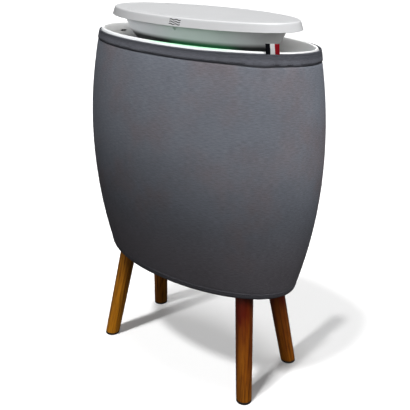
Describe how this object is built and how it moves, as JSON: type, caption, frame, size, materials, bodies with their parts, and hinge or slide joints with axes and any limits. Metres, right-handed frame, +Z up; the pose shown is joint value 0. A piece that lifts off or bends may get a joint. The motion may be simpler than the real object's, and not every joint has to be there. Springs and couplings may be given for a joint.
{
  "type": "air purifier",
  "caption": "Oval barrel-shaped air purifier in a grey fabric sleeve, with a floating white oval lid over its air outlet and splayed round wooden legs.",
  "frame": {"origin": "on the floor under the centre of the body, at the centre of the bounding box's base", "axes": "+X to the right along the body's long axis, -Y towards the front, +Z up"},
  "size_m": [0.452, 0.25, 0.63],
  "materials": {
    "knit_fabric": "grey melange knit",
    "label_weave": "woven ribbon in black, white and dark red stripes",
    "white_shell": "satin white",
    "shell_grey": "moulded grey",
    "inner_black": "moulded black",
    "leg_wood": "oiled, with grain along the leg",
    "foot_rubber": "matt",
    "gasket_rubber": "foam strip",
    "steel": "bright zinc plated",
    "motor_iron": "laminated core with windings",
    "filter_frame": "white frame",
    "pleated_media": "pleated paper fleece",
    "carbon": "carbon loaded foam",
    "circuit_board": "green solder mask",
    "light_guide": "translucent, lit green",
    "lens": "clear white",
    "cable_jacket": "black jacket"
  },
  "bodies": {
    "housing": {"air_sensor": "inner_black", "base_tray": "inner_black", "bowl_carrier": "inner_black", "carbon_sheet_front": "carbon", "carbon_sheet_rear": "carbon", "control_board": "circuit_board", "deflector_bowl": "white_shell", "fabric_sleeve": "knit_fabric", "fan_deck": "inner_black", "fan_duct": "inner_black", "filter_frame_front": "filter_frame", "filter_frame_rear": "filter_frame", "filter_gasket_front": "gasket_rubber", "filter_gasket_rear": "gasket_rubber", "filter_media_front": "pleated_media", "filter_media_rear": "pleated_media", "filter_seat_front": "inner_black", "filter_seat_rear": "inner_black", "foot_pad_front_left": "foot_rubber", "foot_pad_front_right": "foot_rubber", "foot_pad_rear_left": "foot_rubber", "foot_pad_rear_right": "foot_rubber", "front_grille": "shell_grey", "led_board": "circuit_board", "left_pillar": "shell_grey", "leg_front_left": "leg_wood", "leg_front_right": "leg_wood", "leg_plate_front_left": "steel", "leg_plate_front_right": "steel", "leg_plate_rear_left": "steel", "leg_plate_rear_right": "steel", "leg_rear_left": "leg_wood", "leg_rear_right": "leg_wood", "lid_cover": "white_shell", "lid_floor": "white_shell", "light_ring": "light_guide", "lower_bearing": "steel", "main_loom": "cable_jacket", "motor_spider": "steel", "motor_stator": "motor_iron", "outlet_funnel": "white_shell", "power_inlet": "inner_black", "power_lead": "cable_jacket", "power_supply": "circuit_board", "rear_grille": "shell_grey", "right_pillar": "shell_grey", "status_lens": "lens", "upper_bearing": "steel", "woven_label": "label_weave"},
    "rotor": {"impeller": "inner_black", "impeller_cap": "inner_black", "motor_rotor": "steel", "motor_shaft": "steel"}
  },
  "joints": [
    {"name": "fan_spin", "type": "hinge", "parent": "housing", "child": "rotor", "pos_m": [0, 0, 0.5035], "axis": [0, 0, 1], "continuous": true}
  ]
}
